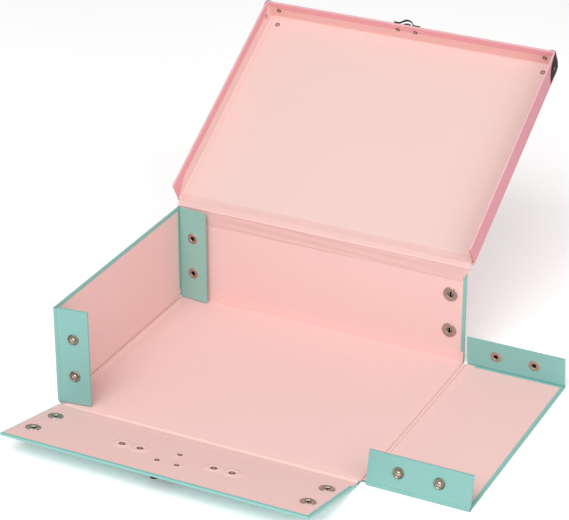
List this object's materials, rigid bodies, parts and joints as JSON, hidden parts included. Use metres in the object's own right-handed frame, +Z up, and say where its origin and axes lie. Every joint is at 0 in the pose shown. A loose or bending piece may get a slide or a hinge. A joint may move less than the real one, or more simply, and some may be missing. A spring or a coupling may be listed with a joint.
{
  "type": "fold-flat snap storage case",
  "caption": "Fold-flat storage case of wrapped board: panels on paper folds, snap flaps at the corners and a hinged tray lid with a slide latch and a drop handle.",
  "frame": {"origin": "centre of the bottom panel's underside, on the table", "axes": "+X to the case's right, +Y towards the back wall and the lid hinge, +Z up"},
  "size_m": [0.36, 0.4772, 0.2178],
  "materials": {
    "case_cover": "turquoise bookcloth-effect paper glued over greyboard, satin",
    "lid_cover": "pink paper glued over greyboard, satin",
    "lining_paper": "pale pink lining paper, matt",
    "hinge_paper": "pink hinge paper, matt, creased along the fold",
    "snap_nickel": "nickel-plated pressed steel",
    "dark_bronze": "dark bronze plating, worn at the edges",
    "rivet_metal": "tubular rivets, dark bronze",
    "grip_leather": "dark brown imitation leather with stitched edges"
  },
  "bodies": {
    "base": {"bottom_board": "case_cover", "bottom_lining": "lining_paper", "left_hinge_fold": "hinge_paper", "right_hinge_fold": "hinge_paper", "front_hinge_fold": "hinge_paper", "back_hinge_fold": "hinge_paper"},
    "left_wall": {"left_wall_board": "case_cover", "left_wall_lining": "lining_paper", "left_hinge_strip": "lining_paper", "left_flap_folds": "case_cover"},
    "left_front_flap": {"left_front_flap": "case_cover", "left_front_studs": "snap_nickel"},
    "left_rear_flap": {"left_rear_flap": "case_cover", "left_rear_studs": "snap_nickel"},
    "right_wall": {"right_wall_board": "case_cover", "right_wall_lining": "lining_paper", "right_hinge_strip": "lining_paper", "right_flap_folds": "case_cover"},
    "right_front_flap": {"right_front_flap": "case_cover", "right_front_studs": "snap_nickel"},
    "right_rear_flap": {"right_rear_flap": "case_cover", "right_rear_studs": "snap_nickel"},
    "back_wall": {"back_wall_board": "case_cover", "back_wall_lining": "lining_paper", "back_hinge_strip": "lining_paper", "back_wall_sockets": "snap_nickel", "lid_hinge_fold": "hinge_paper", "lid_hinge_strip_wall": "lining_paper"},
    "front_wall": {"front_wall_board": "case_cover", "front_wall_lining": "lining_paper", "front_hinge_strip": "lining_paper", "front_wall_sockets": "snap_nickel", "handle_brackets": "dark_bronze", "handle_rivets": "rivet_metal", "latch_plate": "dark_bronze", "latch_rivets": "rivet_metal"},
    "handle": {"handle_rings": "dark_bronze", "handle_grip": "grip_leather"},
    "latch_bolt": {"latch_bolt": "dark_bronze"},
    "lid": {"lid_panel": "lid_cover", "lid_front_side": "lid_cover", "lid_left_side": "lid_cover", "lid_right_side": "lid_cover", "lid_panel_lining": "lining_paper", "lid_side_linings": "lining_paper", "lid_corners": "dark_bronze", "lid_corner_rivets": "rivet_metal", "lid_catch": "dark_bronze", "lid_catch_rivets": "rivet_metal", "lid_hinge_strip": "lining_paper"}
  },
  "joints": [
    {"name": "left_wall_fold", "type": "hinge", "parent": "base", "child": "left_wall", "pos_m": [-0.1341, 0, 0.0003], "axis": [0, 1, 0], "range_deg": [-90, 0]},
    {"name": "right_wall_fold", "type": "hinge", "parent": "base", "child": "right_wall", "pos_m": [0.1341, 0, 0.0003], "axis": [0, -1, 0], "range_deg": [0, 90]},
    {"name": "front_wall_fold", "type": "hinge", "parent": "base", "child": "front_wall", "pos_m": [0, -0.1043, 0.0003], "axis": [-1, 0, 0], "range_deg": [0, 77.1]},
    {"name": "back_wall_fold", "type": "hinge", "parent": "base", "child": "back_wall", "pos_m": [0, 0.1043, 0.0003], "axis": [1, 0, 0], "range_deg": [-46, 0]},
    {"name": "lid_hinge", "type": "hinge", "parent": "back_wall", "child": "lid", "pos_m": [0, 0.1043, 0.0899], "axis": [1, 0, 0], "range_deg": [0, 149.3]},
    {"name": "left_front_flap_fold", "type": "hinge", "parent": "left_wall", "child": "left_front_flap", "pos_m": [-0.1341, -0.1015, 0.0003], "axis": [0, 0, 1], "range_deg": [-17.5, 4]},
    {"name": "left_rear_flap_fold", "type": "hinge", "parent": "left_wall", "child": "left_rear_flap", "pos_m": [-0.1341, 0.1015, 0.0003], "axis": [0, 0, 1], "range_deg": [-12, 0]},
    {"name": "right_front_flap_fold", "type": "hinge", "parent": "right_wall", "child": "right_front_flap", "pos_m": [0.1341, -0.1015, 0.0003], "axis": [-1, 0, 0], "range_deg": [-94, 4]},
    {"name": "right_rear_flap_fold", "type": "hinge", "parent": "right_wall", "child": "right_rear_flap", "pos_m": [0.1341, 0.1015, 0.0003], "axis": [1, 0, 0], "range_deg": [-88.7, 6]},
    {"name": "handle_pivot", "type": "hinge", "parent": "front_wall", "child": "handle", "pos_m": [0, -0.14987, 0.00738], "axis": [-1, 0, 0], "range_deg": [0, 140]},
    {"name": "latch_slide", "type": "slide", "parent": "front_wall", "child": "latch_bolt", "axis": [0, -0.9748, 0.2233], "range_m": [-0.0115, 0]}
  ]
}
